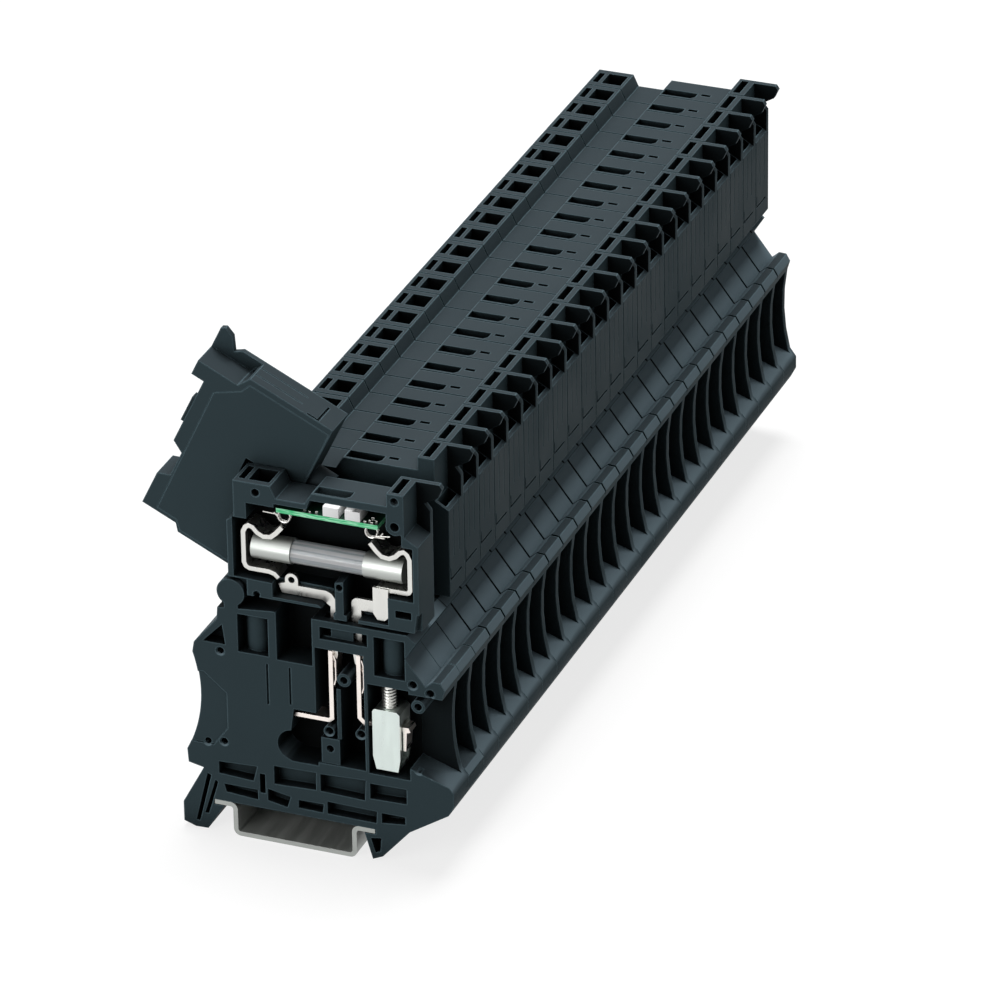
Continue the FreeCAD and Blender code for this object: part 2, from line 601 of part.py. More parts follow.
def cover_outline():
    """Cover plate on the side of the open lever."""
    left = size("lever_left")
    right = size("lever_right")
    top = size("lever_top")
    bottom = size("lever_bottom")
    ledge = top - size("ledge_drop")
    return [(right - 1.4, bottom + 0.4), (right - 1.4, ledge - 1.4), (right - 3.7, ledge - 0.4),
            (right - 7.5, top - 2.8), (left + 2.4, top - 3.2), (left + 2.4, top - 7.8),
            (left + 0.6, top - 9.4), (left + 0.6, bottom + 6.7), (left + 4.9, bottom + 6.7),
            (left + 5.3, bottom + 2.6), (left + 21.7, bottom + 2.6), (left + 21.7, bottom + 0.4)]


def cover_windows():
    """Two openings low in the cover plate."""
    left = size("lever_left")
    bottom = size("lever_bottom")
    return [box_loop(left + 20.7, bottom + 10.5, left + 24.3, bottom + 12.9),
            box_loop(left + 21.9, bottom + 6.1, left + 25.2, bottom + 8.9)]


def make_open_lever():
    """Second lever: closed at its side by a plate, with its hinge, rib and blade barrel."""
    name = "lever_02"
    body = lever_body(name)
    add_knuckle(body, name)
    top = size("lever_top")
    left = size("lever_left")
    pad(body, name + "_rib", [box_loop(left + 20.7, top - 0.5, left + 27.0, top + 1.3)],
        LEVER_FRONT + " + 4.2", "Sizes.pitch / 4")
    barrel = new_sketch(body, name + "_barrel_sketch", "XY_Plane",
                        "Sizes.lever_bottom - Sizes.barrel_reach")
    circle(barrel, (size("barrel_across"), size("pitch") / 2), size("barrel"))
    shroud = body.newObject("PartDesign::Pad", name + "_barrel")
    shroud.Profile = barrel
    shroud.setExpression("Length", "Sizes.barrel_reach + 1")
    pocket(body, name + "_plate_seat", [cover_outline()], "0",
           LEVER_FRONT + " + %g" % COVER_SHEET)
    pocket(body, name + "_windows", cover_windows(), "0", "3.0")
    return body


def make_cover():
    """Plate in the seat of the second lever."""
    body = new_body("lever_02_cover")
    pad(body, "cover_plate", [cover_outline()], LEVER_FRONT, "%g" % COVER_SHEET)
    pocket(body, "cover_openings", cover_windows(), "0", "Sizes.pitch / 2")
    return body


def make_second_blade():
    """Curved knife blade out of the barrel of the open lever."""
    body = new_body("knife_blade_02")
    across = size("barrel_across")
    root = size("lever_bottom") - size("barrel_reach")
    tip = size("blade_tip") + 2.0
    blade = [(across + 1.0, root), ("arc", (across + 1.7, (root + tip) / 2), (across + 2.0, tip)),
             (across + 2.8, tip), ("arc", (across + 2.7, (root + tip) / 2), (across + 2.1, root))]
    pad(body, "second_blade", [blade], "Sizes.blade_front", "Sizes.blade_sheet")
    return body


# Fuse and its contacts

def fuse_parts():
    """Caps, tube and wire of the fuse, along X in the slice frame."""
    left = size("fuse_left")
    length = size("fuse_length")
    cap = size("cap_length")
    depth = size("fuse_depth")
    height = size("fuse_height")
    skin = size("cap_sheet")
    cap_radius = size("cap_radius")
    tube = cap_radius - skin
    parts = []

    def rod(start, span, radius):
        """Round bar along X."""
        return Part.makeCylinder(radius, span, Vector(start, depth, height), Vector(1, 0, 0))

    inner_left = left + skin
    inner_right = left + length - skin
    bore = rod(inner_left, inner_right - inner_left, tube)
    for label, start in (("fuse_cap_left", left), ("fuse_cap_right", left + length - cap)):
        parts.append((label, rod(start, cap, cap_radius).cut(bore)))
    span = inner_right - inner_left
    glass = bore.cut(rod(inner_left, span, tube - size("tube_wall")))
    parts.append(("fuse_glass", glass))
    side = size("wire_side")
    wire = Part.makeBox(span, side, side, Vector(inner_left, depth - side / 2, height - side / 2))
    parts.append(("fuse_wire", wire))
    return parts


def strip_loop(path, thick):
    """Outline of a bent strip: the path and its copy at one side, as a closed loop."""
    points = [Vector(x, z, 0) for x, z in path]
    offset = []
    for index, point in enumerate(points):
        before = points[max(index - 1, 0)]
        after = points[min(index + 1, len(points) - 1)]
        into = (point - before) if index else (after - point)
        out = (after - point) if index < len(points) - 1 else into
        into = Vector(into).normalize()
        out = Vector(out).normalize()
        normal_in = Vector(-into.y, into.x, 0)
        normal_out = Vector(-out.y, out.x, 0)
        mitre = (normal_in + normal_out).normalize()
        reach = thick / max(mitre.dot(normal_in), 0.5)
        offset.append(point + mitre * reach)
    loop = [(p.x, p.y) for p in points] + [(p.x, p.y) for p in reversed(offset)]
    return loop


def clip_path():
    """Upper half of a fuse clip, from its flared end over the waist and down the outer wall.

    Points are (distance in from the fuse's end, height over the fuse's axis).
    """
    waist = size("cap_radius") + size("clip_play") + size("strip")
    return [(6.4, waist + 2.6), (5.1, waist + 1.05), (4.1, waist + 0.15), (2.8, waist),
            (1.7, waist + 0.55), (0.7, waist + 1.65), (-0.5, waist + 2.05), (-1.5, waist + 1.35),
            (-2.1, waist + 0.05)]


def make_clips():
    """Both fuse clips, bent from strip. Each copy of a path lies inside the clip."""
    height = size("fuse_height")
    under = size("cap_radius") + 2.2
    left_path = clip_path() + [(-2.1, 1.6 - under), (-1.6, 0.5 - under), (-0.6, -under),
                               (3.7, -under), (4.7, -under - 0.3), (5.4, -under - 1.0)]
    right_path = clip_path() + [(-2.1, 1.6 - under), (-1.6, 0.8 - under), (-0.9, 0.5 - under),
                                (5.6, 0.5 - under)]
    clips = []
    for label, end, side, path in (("fuse_clip_left", size("fuse_left"), 1, left_path),
                                   ("fuse_clip_right", size("fuse_right"), -1, right_path)):
        points = [(end + side * inward, height + up) for inward, up in path][::side]
        clip = new_body(label)
        pad(clip, label + "_strip", [strip_loop(points, size("strip"))], "Sizes.strip_front",
            "Sizes.strip_width")
        clips.append(clip)
    # Folded leg in front of the right clip's lower end
    fold = size("fuse_right") - 2.9
    low = size("lever_bottom") + 1.2
    high = height - size("cap_radius") - 0.8
    leg = [(fold, low + 0.9), (fold, high), (fold - 3.3, high), (fold - 3.3, low + 1.4),
           (fold - 2.4, low), (fold - 0.8, low)]
    pad(clips[1], "folded_leg", [leg], "Sizes.strip_front - 0.5", "Sizes.blade_sheet")
    return clips


def make_blades():
    """Flat knife blades that reach down into the forks of the housing's contact legs."""
    tip = size("blade_tip")
    bottom = size("lever_bottom")
    bar = size("left_leg") + 0.4
    eye = (size("lever_left") + 12.8, bottom + 6.0)
    rim = 1.4
    left = new_body("knife_blade_left")
    left_loop = [(eye[0] - 2.9, bottom + 4.7), (eye[0] - 2.1, bottom + 2.8),
                 (bar - 1.7, bottom + 2.8), (bar, bottom + 1.6), (bar, tip), (bar + 1.0, tip),
                 (bar + 1.3, tip + 1.5), (bar + 1.3, bottom + 3.0), (bar + 0.3, bottom + 4.4),
                 (bar - 0.8, bottom + 4.9), (eye[0] + rim, bottom + 4.9), (eye[0] + rim, eye[1]),
                 ("arc", (eye[0], eye[1] + rim), (eye[0] - rim, eye[1])),
                 (eye[0] - rim, bottom + 5.2)]
    pad(left, "blade_left_plate", [left_loop], "Sizes.blade_front", "Sizes.blade_sheet")
    round_pocket(left, "blade_left_eye", [eye], 0.7, "0", "Sizes.pitch")
    leg = size("right_leg") - 1.1
    fold = size("fuse_right") - 2.9
    right = new_body("knife_blade_right")
    right_loop = [(leg + 0.5, tip), (leg + 1.6, tip), (leg + 2.1, tip + 2.5),
                  (leg + 2.1, bottom + 1.9), (fold - 3.7, bottom + 1.9),
                  (fold - 3.7, bottom + 4.5), (leg + 1.5, bottom + 4.5),
                  ("arc", (leg + 0.4, bottom + 4.1), (leg, bottom + 3.0)), (leg, tip + 3.0)]
    pad(right, "blade_right_plate", [right_loop], "Sizes.blade_front", "Sizes.blade_sheet")
    return [left, right]


def make_board():
    """Indicator board, its two white blocks and its two contact springs."""
    low = size("lever_top") - size("board_drop")
    high = low + size("board_sheet")
    start = size("lever_left") + 10.5
    end = size("lever_right") - 8.8
    board = new_body("indicator_board")
    pad(board, "board_plate", [box_loop(start, low, end, high)], "Sizes.board_front", "5.6")
    blocks = []
    for label, near, far in (("indicator_block_left", start + 10.0, start + 13.4),
                             ("indicator_block_right", start + 14.7, start + 18.0)):
        block = new_body(label)
        pad(block, label + "_case", [box_loop(near, high, far, high + size("block_rise"))],
            "Sizes.board_front", "4.4")
        blocks.append(block)
    springs = []
    radius = size("spring_radius")
    for label, across in (("contact_spring_left", start + 1.0),
                          ("contact_spring_right", end - 2.0)):
        spring = new_body(label)
        centre = (across, low - radius - 0.05)
        turns = [math.radians(22.5 + 45 * step) for step in range(8)]
        ring = [(centre[0] + radius * math.cos(turn), centre[1] + radius * math.sin(turn))
                for turn in turns]
        pad(spring, label + "_coil", [ring], "2.0", "2.4")
        springs.append(spring)
    return [board] + blocks + springs


def make_legs():
    """Contact legs of the housing, bent from strip, with a fork for the knife blade on top."""
    legs = []
    top = size("leg_top")
    foot = size("wing_foot")
    thick = size("leg_sheet")
    left_face = size("left_leg") + thick
    right_face = size("right_leg") + thick
    left_path = [(-3.9, foot + 8.8), (left_face - 0.8, foot + 8.8), (left_face, foot + 9.6),
                 (left_face, top)]
    right_path = [(right_face, top), (right_face, foot + 11.3), (right_face + 0.9, foot + 10.4),
                  (right_face + 1.4, foot + 10.4)]
    for label, loop in (("contact_leg_left", strip_loop(left_path, thick)),
                        ("contact_leg_right", strip_loop(right_path, -thick))):
        leg = new_body(label)
        pad(leg, label + "_strip", [loop], "Sizes.leg_front", "Sizes.leg_width")
        fork = box_loop(size("left_leg") - 0.8, top - size("fork_slot"), right_face + 1.3, top + 1)
        pocket(leg, label + "_fork", [fork], "Sizes.blade_front - Sizes.blade_play",
               "Sizes.blade_sheet + 2 * Sizes.blade_play")
        legs.append(leg)
    return legs


def make_clamp():
    """Clamp cage, its screw and the pressure tongue in it."""
    cage = new_body("clamp_cage")
    left = size("cage_left")
    right = left + size("cage_width")
    low = size("cage_bottom")
    high = size("cage_top")
    outline = [(left + 0.7, low), (right - 0.5, low), (right, low + 2.9), (right, high - 0.6),
               (right - 0.6, high), (left + 0.4, high), (left, high - 0.6), (left, low + 2.9)]
    pad(cage, "cage_block", [outline], "Sizes.cage_front", "Sizes.cage_depth")
    window = box_loop(left - 1, low + 1.2, right + 1, high - 3.0)
    pocket(cage, "cage_window", [window], "Sizes.cage_front + Sizes.cage_wall",
           "Sizes.cage_depth - 2 * Sizes.cage_wall")
    bore = new_sketch(cage, "cage_bore_sketch", "XY_Plane", "Sizes.cage_top + 1")
    axis = (size("screw_across"), size("cage_front") + size("cage_depth") / 2)
    circle(bore, axis, size("screw_radius") + size("screw_play"))
    hole = cage.newObject("PartDesign::Pocket", "cage_bore_hole")
    hole.Profile = bore
    hole.setExpression("Length", "5")

    screw = new_body("clamp_screw")
    shank = new_sketch(screw, "screw_shank_sketch", "XY_Plane", "Sizes.screw_bottom")
    circle(shank, axis, size("screw_radius"))
    rod = screw.newObject("PartDesign::Pad", "screw_shank")
    rod.Profile = shank
    rod.setExpression("Length", "Sizes.screw_length")

    tongue = new_body("pressure_tongue")
    start = size("right_leg") + size("leg_sheet") + 1.5
    level = size("wing_foot") + 10.4
    loop = [(start, level), (right + 1.4, level), (right + 1.8, level - 0.9),
            (right + 1.0, level - 1.2), (right + 0.8, level - 5.4), (right + 0.2, level - 5.4),
            (right + 0.2, level - 1.0), (start, level - 0.9)]
    pad(tongue, "tongue_strip", [loop], "Sizes.cage_front + 1.2", "3.2")
    return [cage, screw, tongue]


# The row

parts = []
rail = make_rail()
parts.append(("mounting_rail", rail))

front_housing = make_front_housing()
place_slice(front_housing, 1)
parts.append(("housing_01", front_housing))

second_housing = housing_body("housing_02", WING_FLATS)
add_hinge_ears(second_housing, "housing_02")
pocket(second_housing, "housing_02_well", [tower_well()], "Sizes.wall", BACK_WALL + " - Sizes.wall")
add_mouth(second_housing, "housing_02", size("blade_tip") + 1.4)
barrel_room = size("barrel") + size("barrel_clear")
barrel_well = box_loop(size("barrel_across") - barrel_room,
                       size("lever_bottom") - size("barrel_reach") - size("barrel_clear"),
                       size("barrel_across") + barrel_room + 0.7, size("deck") + 1)
pocket(second_housing, "housing_02_barrel_well", [barrel_well],
       "Sizes.pitch / 2 - Sizes.barrel - 0.2", "2 * Sizes.barrel + 0.4")
place_slice(second_housing, 2)
parts.append(("housing_02", second_housing))

rear_housing = housing_body("rear_housing", WING_FLATS)
doc.recompute()
copies = []
for number in range(3, SLICES + 1):
    link = doc.addObject("App::Link", "rear_housing_%02d" % number)
    link.LinkedObject = rear_housing
    place_slice(link, number)
    copies.append(link)
rear_row = doc.addObject("Part::Compound", "housings_03_to_25")
rear_row.Label = "housings_03_to_25"
rear_row.Links = copies
parts.append(("housings_03_to_25", rear_row))

front_lever = make_front_lever()
place_slice(front_lever, 1)
parts.append(("lever_01", front_lever))

rear_lever = lever_body("rear_lever", False)
for number in range(3, SLICES + 1):
    name = "lever_%02d" % number
    link = doc.addObject("App::Link", name)
    link.LinkedObject = rear_lever
    link.Label = name
    place_slice(link, number)
    parts.append((name, link))

for piece in make_clips() + make_blades() + make_board() + make_legs() + make_clamp():
    place_slice(piece, 1)
    parts.append((piece.Label, piece))

for name, shape in fuse_parts():
    piece = doc.addObject("Part::Feature", name)
    piece.Label = name
    piece.Shape = shape
    place_slice(piece, 1)
    parts.append((name, piece))

open_pieces = [make_open_lever(), make_cover(), make_second_blade()]
doc.recompute()
hinge = Vector(size("hinge_across"), 0, size("hinge_height"))
for piece in open_pieces:
    turn = Rotation(Vector(0, -1, 0), size("open_angle"))
    slice_start = Vector(0, (OPEN_SLICE - 1 - SLICES / 2) * size("pitch"), size("rail_height"))
    piece.Placement = Placement(slice_start + hinge - turn.multVec(hinge), turn)
    parts.append((piece.Label, piece))

doc.recompute()

# Every object has to be sound before anything is written
faults = [item.Name for item in doc.Objects if "Invalid" in item.State or "Error" in item.State]
if faults:
    raise RuntimeError("failed objects: " + ", ".join(faults))

os.makedirs("parts", exist_ok=True)
for name, item in parts:
    shape = Part.getShape(item)
    if shape.isNull() or not shape.isValid() or not shape.Solids:
        raise RuntimeError("bad shape: " + name)
    shape.exportStep("parts/%s.step" % name)
    print("%-24s solids %2d volume %10.1f" % (name, len(shape.Solids), shape.Volume))
print("nodes:", len(parts))
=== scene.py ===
# %% [markdown]
# # A row of fuse terminal blocks
# The real object is a row of moulded terminal blocks on a folded steel rail. The first block
# is open at its side, so its fuse, clips, circuit board and screw clamp show. The second
# block's lever is swung open. The CAD model brings every moulding at its true size, so this
# lesson gives each one its finish, cuts the finest slots, adds the thin metal parts and sets
# up light and camera.

# %% Load the frame
import json
import math

import bmesh
import bpy
from mathutils import Matrix, Vector


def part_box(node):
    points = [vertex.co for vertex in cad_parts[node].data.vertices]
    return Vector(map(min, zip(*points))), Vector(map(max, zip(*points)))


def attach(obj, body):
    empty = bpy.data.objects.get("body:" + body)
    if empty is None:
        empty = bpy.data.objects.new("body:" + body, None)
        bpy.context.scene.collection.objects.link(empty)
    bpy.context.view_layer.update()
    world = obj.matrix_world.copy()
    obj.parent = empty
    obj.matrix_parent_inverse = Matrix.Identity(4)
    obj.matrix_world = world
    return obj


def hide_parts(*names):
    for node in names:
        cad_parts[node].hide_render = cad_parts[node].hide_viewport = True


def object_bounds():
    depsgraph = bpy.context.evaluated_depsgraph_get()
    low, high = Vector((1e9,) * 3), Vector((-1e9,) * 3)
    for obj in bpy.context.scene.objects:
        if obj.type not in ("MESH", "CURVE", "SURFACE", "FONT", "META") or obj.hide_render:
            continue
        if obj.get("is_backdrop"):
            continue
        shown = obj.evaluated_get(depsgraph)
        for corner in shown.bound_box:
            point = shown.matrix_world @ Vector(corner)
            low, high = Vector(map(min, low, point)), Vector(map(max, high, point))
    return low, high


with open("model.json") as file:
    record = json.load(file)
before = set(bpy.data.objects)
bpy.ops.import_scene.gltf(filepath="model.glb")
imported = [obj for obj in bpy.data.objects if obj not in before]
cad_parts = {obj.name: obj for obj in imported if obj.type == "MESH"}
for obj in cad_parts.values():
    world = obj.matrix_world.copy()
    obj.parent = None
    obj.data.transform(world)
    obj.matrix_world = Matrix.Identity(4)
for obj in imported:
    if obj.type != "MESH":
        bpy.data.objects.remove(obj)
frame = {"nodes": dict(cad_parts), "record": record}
nodes = frame["nodes"]
cad_low, cad_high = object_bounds()
MM = 0.001

# %% [markdown]
# Every finish here is a small tree of shader nodes. One helper that adds a node and fills its
# sockets keeps each material short enough to read in one look.

# %% Helpers for shader nodes


def add_node(tree, kind, settings=None, **sockets):
    """Adds a shader node. A socket given another node's output is linked to it."""
    node = tree.nodes.new(kind)
    for name, value in (settings or {}).items():
        setattr(node, name, value)
    for name, value in sockets.items():
        socket = node.inputs[name.replace("_", " ")]
        if isinstance(value, bpy.types.NodeSocket):
            tree.links.new(value, socket)
        else:
            socket.default_value = value
    return node


def new_material(name):
    """Empty material with its tree, its shader and the object's own coordinates."""
    material = bpy.data.materials.new(name)
    material.use_nodes = True
    tree = material.node_tree
    shader = tree.nodes["Principled BSDF"]
    place = add_node(tree, "ShaderNodeTexCoord").outputs["Object"]
    return material, tree, shader, place


def noise(tree, place, per_metre, detail=2.0, stretch=None):
    """Noise of a given fineness, drawn out along an axis where stretch says so."""
    if stretch:
        place = add_node(tree, "ShaderNodeMapping", Vector=place, Scale=stretch).outputs[0]
    return add_node(tree, "ShaderNodeTexNoise", Vector=place, Scale=per_metre,
                    Detail=detail).outputs["Fac"]


def spread(tree, value, low, high, start=0.3, stop=0.7):
    """Turns a number between start and stop into one between low and high."""
    return add_node(tree, "ShaderNodeMapRange", Value=value, From_Min=start, From_Max=stop,
                    To_Min=low, To_Max=high).outputs[0]


def blend_colours(tree, share, first, second):
    """Mixes two colours, or colour outputs, by a share between 0 and 1."""
    mix = add_node(tree, "ShaderNodeMix", {"data_type": "RGBA"})
    tree.links.new(share, mix.inputs["Factor"])
    for socket, value in ((mix.inputs[6], first), (mix.inputs[7], second)):
        if isinstance(value, bpy.types.NodeSocket):
            tree.links.new(value, socket)
        else:
            socket.default_value = (*value, 1.0)
    return mix.outputs[2]


def arithmetic(tree, operation, *values, clamp=False):
    """Adds a Math node over outputs and plain numbers."""
    node = add_node(tree, "ShaderNodeMath", {"operation": operation, "use_clamp": clamp})
    for socket, value in zip(node.inputs, values):
        if isinstance(value, bpy.types.NodeSocket):
            tree.links.new(value, socket)
        else:
            socket.default_value = value
    return node.outputs[0]


# %% [markdown]
# The mouldings are dark blue-grey polyamide with the fine grain of a spark-eroded mould. It
# could be one flat colour, but three things make it read as a moulding. A slow noise lets the
# tone and the gloss drift. Ambient occlusion paints shade into deep pockets. And where the
# rounded normal leaves the flat one, a painted highlight makes the edge lighter. Faces that
# look up get a tint painted to set how their tops read lit, and the sloped roofs and lips of
# the housings carry a painted highlight that makes them paler still, also close to a wall.
# The floors of the deepest pockets get a darker copy of the plastic as painted shade, because
# almost no light comes back from them.

# %% Moulded plastic
PLASTIC_GREY = (0.034, 0.053, 0.061)
# tint painted on faces that look up, to set how their tops read lit
PAINTED_TOP_TINT = (1.0, 0.88, 0.88)
# share of the colour left as painted shade in deep pockets, and the reach of that shade
POCKET_PAINTED_SHADE = 0.04
POCKET_REACH = 12.0 * MM
# how many times lighter the painted edge highlight is
PAINTED_EDGE_GAIN = 4.5


def moulded_plastic(name, colour, roughness=0.62, edge=0.38 * MM, roof_highlight=1.0):
    """Matte moulded plastic with mould grain, painted pocket shade and painted edge highlights.
    The last argument is how much paler its sloped faces are painted, as a highlight."""
    material, tree, shader, place = new_material(name)
    drift = noise(tree, place, 60.0)
    tone = blend_colours(tree, drift, [c * 0.92 for c in colour], [c * 1.08 for c in colour])
    own_normal = add_node(tree, "ShaderNodeTexCoord").outputs["Normal"]
    looks_up = add_node(tree, "ShaderNodeSeparateXYZ", Vector=own_normal).outputs["Z"]
    # faces that look up get a tint painted to set how their tops read lit
    painted_top_tone = [c * tint for c, tint in zip(colour, PAINTED_TOP_TINT)]
    tone = blend_colours(tree, spread(tree, looks_up, 0.0, 1.0, 0.15, 0.65), tone, painted_top_tone)
    # sloped faces get a painted highlight in their colour
    sloped = arithmetic(tree, "MULTIPLY", spread(tree, looks_up, 0.0, 1.0, 0.25, 0.60),
                        spread(tree, looks_up, 1.0, 0.0, 0.82, 0.98))
    tone = blend_colours(tree, sloped, tone, [c * roof_highlight for c in painted_top_tone])
    # ambient occlusion here only paints shade into the colour of deep pockets
    open_sky = add_node(tree, "ShaderNodeAmbientOcclusion", {"samples": 3},
                        Distance=POCKET_REACH).outputs["AO"]
    rounded = add_node(tree, "ShaderNodeBevel", {"samples": 3}, Radius=edge).outputs[0]
    flat = add_node(tree, "ShaderNodeNewGeometry").outputs["Normal"]
    agree = add_node(tree, "ShaderNodeVectorMath", {"operation": "DOT_PRODUCT"})
    tree.links.new(rounded, agree.inputs[0])
    tree.links.new(flat, agree.inputs[1])
    near_edge = spread(tree, agree.outputs["Value"], 0.9, 0.0, 0.88, 0.998)
    outward = spread(tree, open_sky, 0.0, 1.0, 0.40, 0.62)
    # edges that face open space get a painted highlight in their colour
    painted_edge_highlight = arithmetic(tree, "MULTIPLY", near_edge, outward)
    tone = blend_colours(tree, painted_edge_highlight, tone, [c * PAINTED_EDGE_GAIN for c in colour])
    # pockets take the painted shade, sloped faces less so
    reached = arithmetic(tree, "MULTIPLY_ADD", sloped, 0.25, open_sky)
    lit = spread(tree, reached, 0.0, 1.0, 0.38, 0.64)
    tone = blend_colours(tree, lit, [c * POCKET_PAINTED_SHADE for c in colour], tone)
    tree.links.new(tone, shader.inputs["Base Color"])
    tree.links.new(spread(tree, drift, roughness - 0.06, roughness + 0.06),
                   shader.inputs["Roughness"])
    grain = noise(tree, place, 4500.0, detail=3.0)
    bump = add_node(tree, "ShaderNodeBump", Strength=0.12, Distance=0.03 * MM, Height=grain,
                    Normal=rounded)
    tree.links.new(bump.outputs[0], shader.inputs["Normal"])
    shader.inputs["Specular IOR Level"].default_value = 0.04
    return material


# the sloped roofs and lips of the housings are painted 4.2 times paler, a painted highlight
housing_plastic = moulded_plastic("housing_plastic", PLASTIC_GREY, roof_highlight=4.2)
lever_plastic = moulded_plastic("lever_plastic", tuple(c * 1.05 for c in PLASTIC_GREY), 0.58)
# a darker copy of the plastic, painted shade for the floors of deep pockets
pocket_shade_plastic = moulded_plastic("pocket_shade_plastic", tuple(c * 0.16 for c in PLASTIC_GREY))
print("plastics:", housing_plastic.name, lever_plastic.name, pocket_shade_plastic.name)

# %% [markdown]
# Plated metal differs from polished metal in its streaks. Rolled strip and a drawn rail are
# streaked along their length, so the noise is drawn out that way and drives the roughness.

# %% Plated metals


def plated_metal(name, colour, roughness, streaks, per_metre=900.0, depth=0.02 * MM):
    """Metal with fine streaks. streaks is the scale of the noise along each axis."""
    material, tree, shader, place = new_material(name)
    lines = noise(tree, place, per_metre, detail=4.0, stretch=streaks)
    tree.links.new(spread(tree, lines, roughness * 0.75, roughness * 1.3),
                   shader.inputs["Roughness"])
    cloud = noise(tree, place, 120.0)
    tone = blend_colours(tree, cloud, [c * 0.92 for c in colour],
                         [min(c * 1.05, 1.0) for c in colour])
    tree.links.new(tone, shader.inputs["Base Color"])
    rounded = add_node(tree, "ShaderNodeBevel", {"samples": 4}, Radius=0.06 * MM).outputs[0]
    bump = add_node(tree, "ShaderNodeBump", Strength=0.15, Distance=depth, Height=lines,
                    Normal=rounded)
    tree.links.new(bump.outputs[0], shader.inputs["Normal"])
    shader.inputs["Metallic"].default_value = 1.0
    return material


zinc_steel = plated_metal("zinc_steel", (0.40, 0.42, 0.40), 0.46, (1.0, 0.04, 1.0))
zinc_steel.node_tree.nodes["Principled BSDF"].inputs["Metallic"].default_value = 0.6
nickel = plated_metal("nickel", (0.66, 0.66, 0.63), 0.30, (1.0, 1.0, 0.1))
cap_nickel = plated_metal("cap_nickel", (0.42, 0.44, 0.42), 0.42, (0.08, 1.0, 1.0))
tinned_copper = plated_metal("tinned_copper", (0.86, 0.79, 0.74), 0.30, (1.0, 0.1, 1.0))
clamp_steel = plated_metal("clamp_steel", (0.62, 0.69, 0.66), 0.36, (1.0, 1.0, 0.15))
spring_steel = plated_metal("spring_steel", (0.70, 0.69, 0.66), 0.24, (1.0, 1.0, 1.0))
fuse_copper = plated_metal("fuse_copper", (0.30, 0.14, 0.11), 0.40, (0.2, 1.0, 1.0))
print("metals: 7")

# %% [markdown]
# The circuit board, the white indicator blocks and the glass each need one smooth finish. The
# board is green lacquer over woven glass. It is bright green with paler streaks at its cut
# edges and near black on its faces, so it gets two finishes.

# %% Board and blocks


def smooth_finish(name, colour, roughness, per_metre, strength, second=None, stretch=None):
    """Finish with a fine bump, a little drift in its gloss, and streaks of a second colour."""
    material, tree, shader, place = new_material(name)
    fine = noise(tree, place, per_metre, stretch=stretch)
    if second:
        tree.links.new(blend_colours(tree, spread(tree, fine, 0.0, 1.0, 0.42, 0.62), colour,
                                     second), shader.inputs["Base Color"])
    else:
        shader.inputs["Base Color"].default_value = (*colour, 1.0)
    tree.links.new(spread(tree, fine, roughness * 0.8, roughness * 1.25),
                   shader.inputs["Roughness"])
    bump = add_node(tree, "ShaderNodeBump", Strength=strength, Distance=0.02 * MM, Height=fine)
    tree.links.new(bump.outputs[0], shader.inputs["Normal"])
    return material


board_green = smooth_finish("board_green", (0.002, 0.022, 0.012), 0.35, 2500.0, 0.2)
board_edge = smooth_finish("board_edge", (0.05, 0.62, 0.24), 0.40, 1400.0, 0.2,
                           (0.42, 0.95, 0.62), (0.35, 1.0, 3.0))
block_white = smooth_finish("block_white", (0.97, 0.98, 0.98), 0.38, 900.0, 0.1)
print("board finishes:", board_green.name, board_edge.name)

# %% [markdown]
# The fuse's glass is clear, with long pale streaks painted into its colour as reflections of
# the studio's soft boxes and its own inner wall. Pure transmission would show only the black
# pocket behind it, so part of the light is scattered, and a noise drawn out along the tube
# tells where the painted streaks lie.

# %% Fuse glass


def streaked_glass(name):
    """Clear tube glass with long pale streaks painted in as reflections."""
    material, tree, shader, place = new_material(name)
    streaks = noise(tree, place, 1300.0, detail=1.0, stretch=(0.012, 1.0, 1.0))
    # pale streaks painted into the colour, standing in for reflections
    tone = blend_colours(tree, spread(tree, streaks, 0.0, 1.0, 0.46, 0.54),
                         (0.60, 0.66, 0.69), (1.0, 1.0, 1.0))
    tree.links.new(tone, shader.inputs["Base Color"])
    shader.inputs["Roughness"].default_value = 0.02
    shader.inputs["Transmission Weight"].default_value = 0.64
    shader.inputs["IOR"].default_value = 1.46
    return material


fuse_glass = streaked_glass("fuse_glass")

# %% [markdown]
# Each CAD part is named with the finish of the real one, as on a parts list. The parts could
# be painted one by one, but a table from that name to a material keeps them in step.

# %% Give each moulding and metal part its finish
FINISHES = {"zinc_steel": zinc_steel, "housing_plastic": housing_plastic,
            "lever_plastic": lever_plastic, "nickel": nickel, "cap_nickel": cap_nickel,
            "tinned_copper": tinned_copper, "clamp_steel": clamp_steel,
            "board_green": board_green, "block_white": block_white, "fuse_glass": fuse_glass}
slot_of = {entry["node"]: entry["material_slot"] for entry in frame["record"]["subparts"]}
body_of = {node: body for body, members in frame["record"]["behaviour"]["bodies"].items()
           for node in members}
for node_name, slot in slot_of.items():
    nodes[node_name].data.materials.clear()
    nodes[node_name].data.materials.append(FINISHES[slot])
print("finished nodes:", len(slot_of))

# %% [markdown]
# New pieces are easiest to place in one block's own frame, as a maker would dimension it: X
# across the rail, Y back from the block's front face and Z up from the rail's lips, all in
# millimetres. The blocks stand 8.2 mm apart.

# %% The block's own frame
BLOCKS, PITCH, RAIL_HEIGHT = 25, 8.2, 7.5


def at(across, back, up, number=1):
    """Point in the block's own frame, in metres in the row's frame."""
    front = -BLOCKS * PITCH / 2 + (number - 1) * PITCH
    return Vector((across, front + back, up + RAIL_HEIGHT)) * MM


# %% [markdown]
# Every new piece ends the same way: its faces get smooth shading, its sharp edges stay sharp,
# and it is tied to the CAD body that it moves with.

# %% Finish a piece


